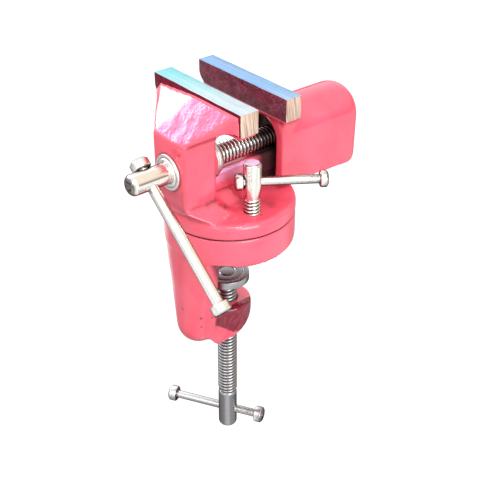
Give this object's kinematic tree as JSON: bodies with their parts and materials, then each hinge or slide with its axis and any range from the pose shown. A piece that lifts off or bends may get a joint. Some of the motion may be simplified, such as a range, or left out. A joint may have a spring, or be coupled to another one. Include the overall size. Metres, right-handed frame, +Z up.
{
  "type": "mini bench vise",
  "caption": "Small clamp-on bench vise with a swivel head, two wide steel jaws, a screw-driven sliding jaw, a swivel lock and T-bar handles.",
  "frame": {"origin": "where the swivel axis meets the face of the base that rests on the bench", "axes": "+Z up along the swivel axis, X along the jaws, +Y from the spindle handle towards the sliding jaw"},
  "size_m": [0.0844, 0.1264, 0.1977],
  "materials": {
    "enamel": "glossy coral red enamel over cast iron",
    "jaw_steel": "surface ground, grinding lines along the bars",
    "plated_steel": "turned and bright nickel plated",
    "dark_steel": "plain oiled steel"
  },
  "bodies": {
    "base": {"clamp_base": "enamel"},
    "swivel": {"swivel_body": "enamel", "fixed_jaw_bar": "jaw_steel", "pivot_bolt": "dark_steel", "pivot_washer": "dark_steel"},
    "jaw": {"moving_jaw": "enamel", "moving_jaw_bar": "jaw_steel", "spindle_nut": "dark_steel", "nut_pin": "dark_steel"},
    "screw": {"spindle": "plated_steel", "spindle_collar": "plated_steel", "spindle_washer": "plated_steel", "retaining_ring": "plated_steel"},
    "screw_handle": {"spindle_bar": "plated_steel", "spindle_bar_knob_a": "plated_steel", "spindle_bar_knob_b": "plated_steel"},
    "lock": {"lock_screw": "plated_steel"},
    "lock_handle": {"lock_bar": "plated_steel", "lock_bar_knob_a": "plated_steel", "lock_bar_knob_b": "plated_steel"},
    "pad": {"clamp_pad": "plated_steel"},
    "clamp_spindle": {"clamp_screw": "plated_steel"},
    "clamp_handle": {"clamp_bar": "plated_steel", "clamp_bar_knob_a": "plated_steel", "clamp_bar_knob_b": "plated_steel"}
  },
  "joints": [
    {"name": "swivel_turn", "type": "hinge", "parent": "base", "child": "swivel", "pos_m": [0, 0, 0], "axis": [0, 0, 1], "continuous": true},
    {"name": "spindle_turn", "type": "hinge", "parent": "swivel", "child": "screw", "pos_m": [0, 0, 0.0442], "axis": [0, 1, 0], "range_deg": [-2645, 2753]},
    {"name": "jaw_slide", "type": "slide", "parent": "swivel", "child": "jaw", "axis": [0, 1, 0], "range_m": [-0.0153, 0.0147]},
    {"name": "spindle_bar_slide", "type": "slide", "parent": "screw", "child": "screw_handle", "axis": [-0.7771, 0, 0.6293], "range_m": [0, 0.0558]},
    {"name": "lock_turn", "type": "hinge", "parent": "swivel", "child": "lock", "pos_m": [0.0192, -0.0023, 0], "axis": [0, 0, 1], "range_deg": [-54, 28]},
    {"name": "lock_bar_slide", "type": "slide", "parent": "lock", "child": "lock_handle", "axis": [-0.5635, -0.8261, 0], "range_m": [0, 0.005]},
    {"name": "clamp_travel", "type": "slide", "parent": "base", "child": "pad", "axis": [0, 0, 1], "range_m": [-0.0085, 0.02]},
    {"name": "clamp_turn", "type": "hinge", "parent": "pad", "child": "clamp_spindle", "pos_m": [0, -0.0019, 0], "axis": [0, 0, 1], "range_deg": [-1529, 3599]},
    {"name": "clamp_bar_slide", "type": "slide", "parent": "clamp_spindle", "child": "clamp_handle", "axis": [0.8625, 0.506, 0], "range_m": [-0.0108, 0.0244]}
  ],
  "couplings": [
    {"joint": "jaw_slide", "follows": "spindle_turn", "m_per_rad": -0.00031831},
    {"joint": "clamp_travel", "follows": "clamp_turn", "m_per_rad": 0.00031831}
  ]
}
